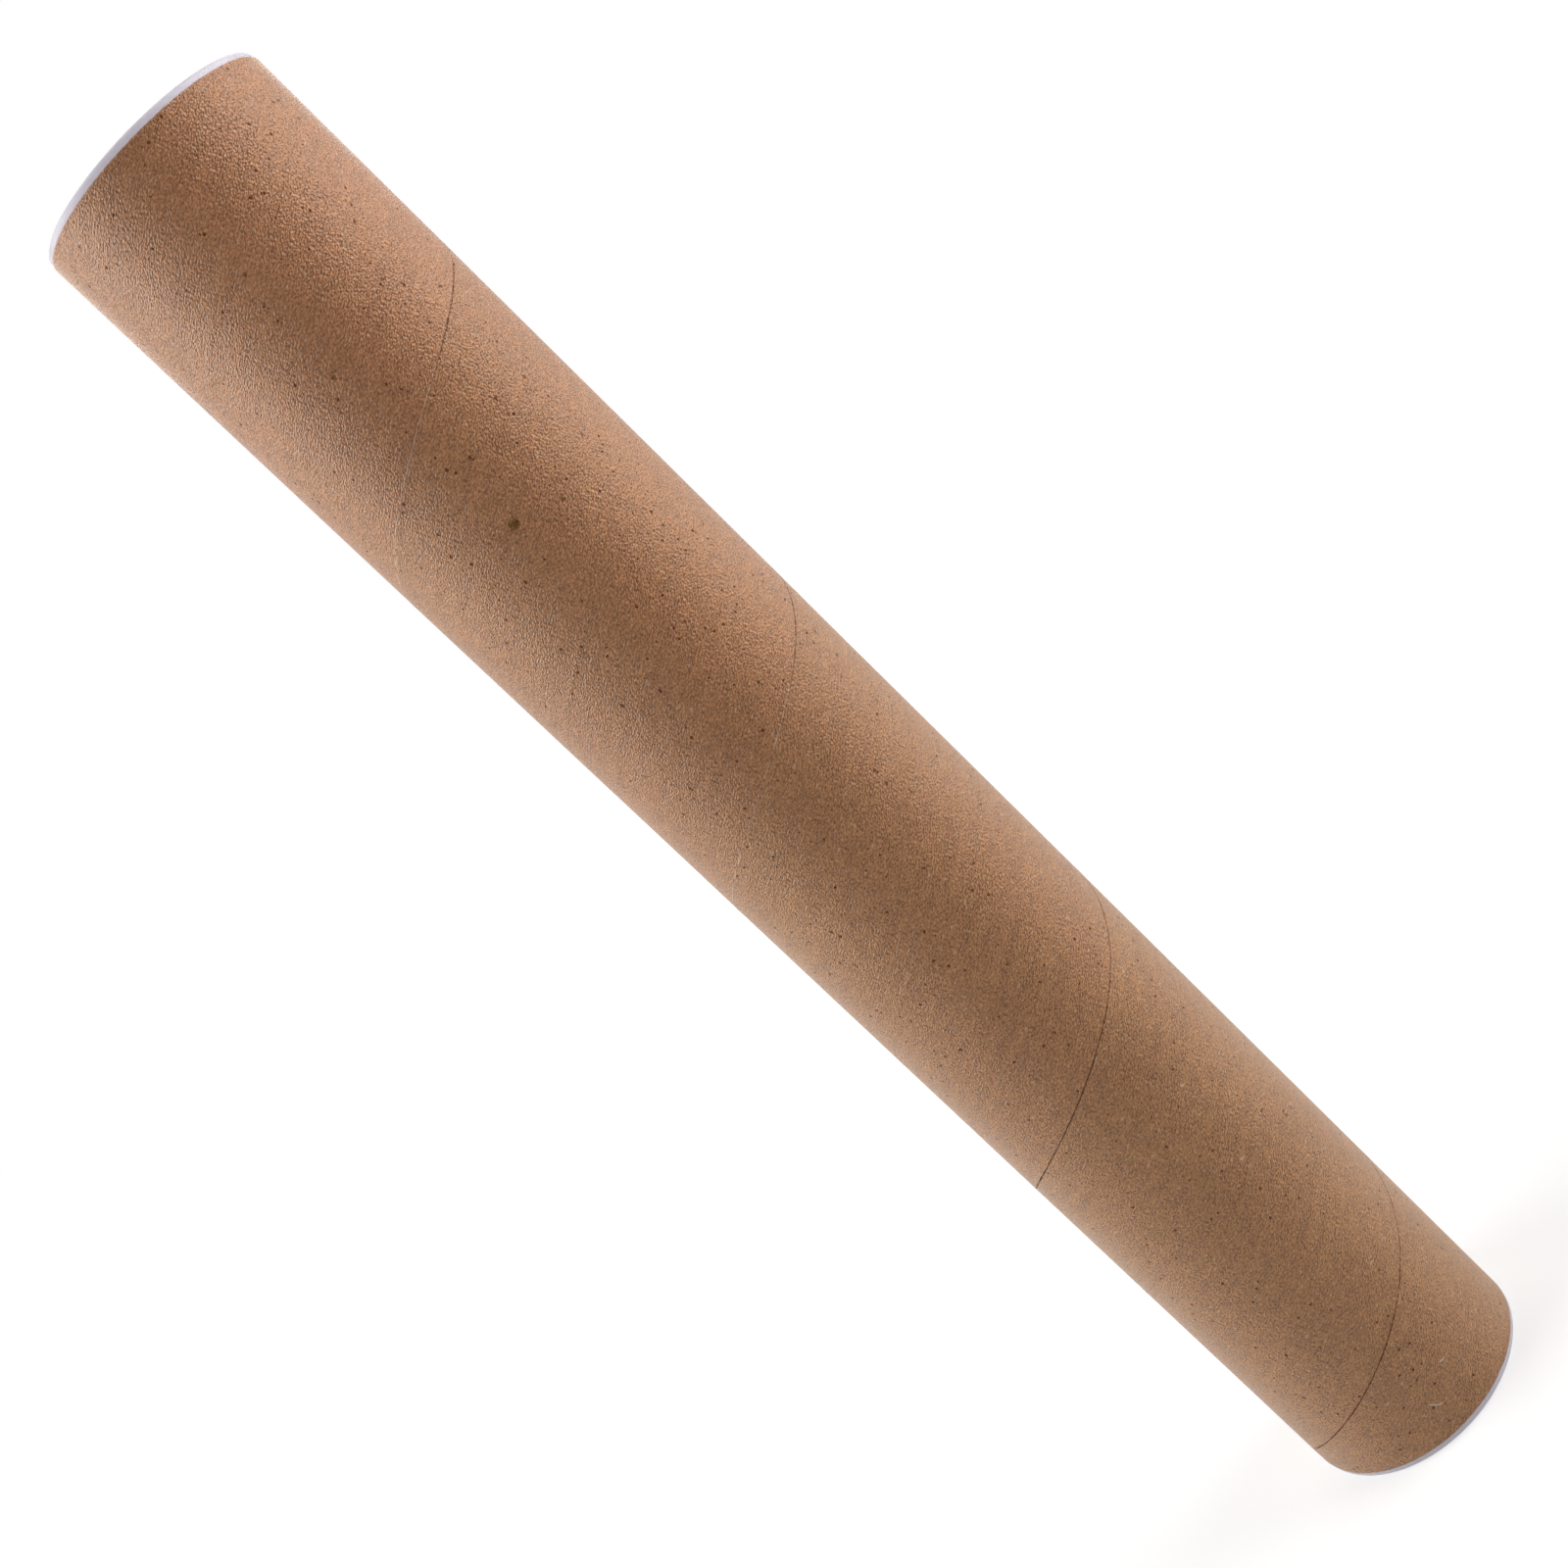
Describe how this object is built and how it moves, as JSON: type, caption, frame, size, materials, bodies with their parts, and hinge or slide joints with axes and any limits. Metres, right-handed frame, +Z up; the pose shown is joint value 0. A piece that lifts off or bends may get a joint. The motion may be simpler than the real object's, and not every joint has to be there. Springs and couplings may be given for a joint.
{
  "type": "cardboard mailing tube",
  "caption": "Round spiral-wound kraft board tube with white push-in plastic end plugs, for posting or storing rolled papers.",
  "frame": {"origin": "centre of the bottom plug's underside, on the tube's axis, where the standing tube meets the floor", "axes": "+Z up along the tube's axis, to the top plug; +X and +Y are across the tube, and the outer seam leaves the board's lower edge 167 degrees round from +X towards +Y"},
  "size_m": [0.054, 0.054, 0.3586],
  "materials": {
    "kraft_board": "matte",
    "white_plastic": "satin"
  },
  "bodies": {
    "bottom_plug": {"bottom_cap": "white_plastic"},
    "tube": {"tube": "kraft_board"},
    "top_plug": {"top_cap": "white_plastic"}
  },
  "joints": [
    {"name": "tube_pull", "type": "slide", "parent": "bottom_plug", "child": "tube", "axis": [0, 0, 1], "range_m": [0, 0.05]},
    {"name": "top_cap_pull", "type": "slide", "parent": "tube", "child": "top_plug", "axis": [0, 0, 1], "range_m": [0, 0.05]}
  ]
}
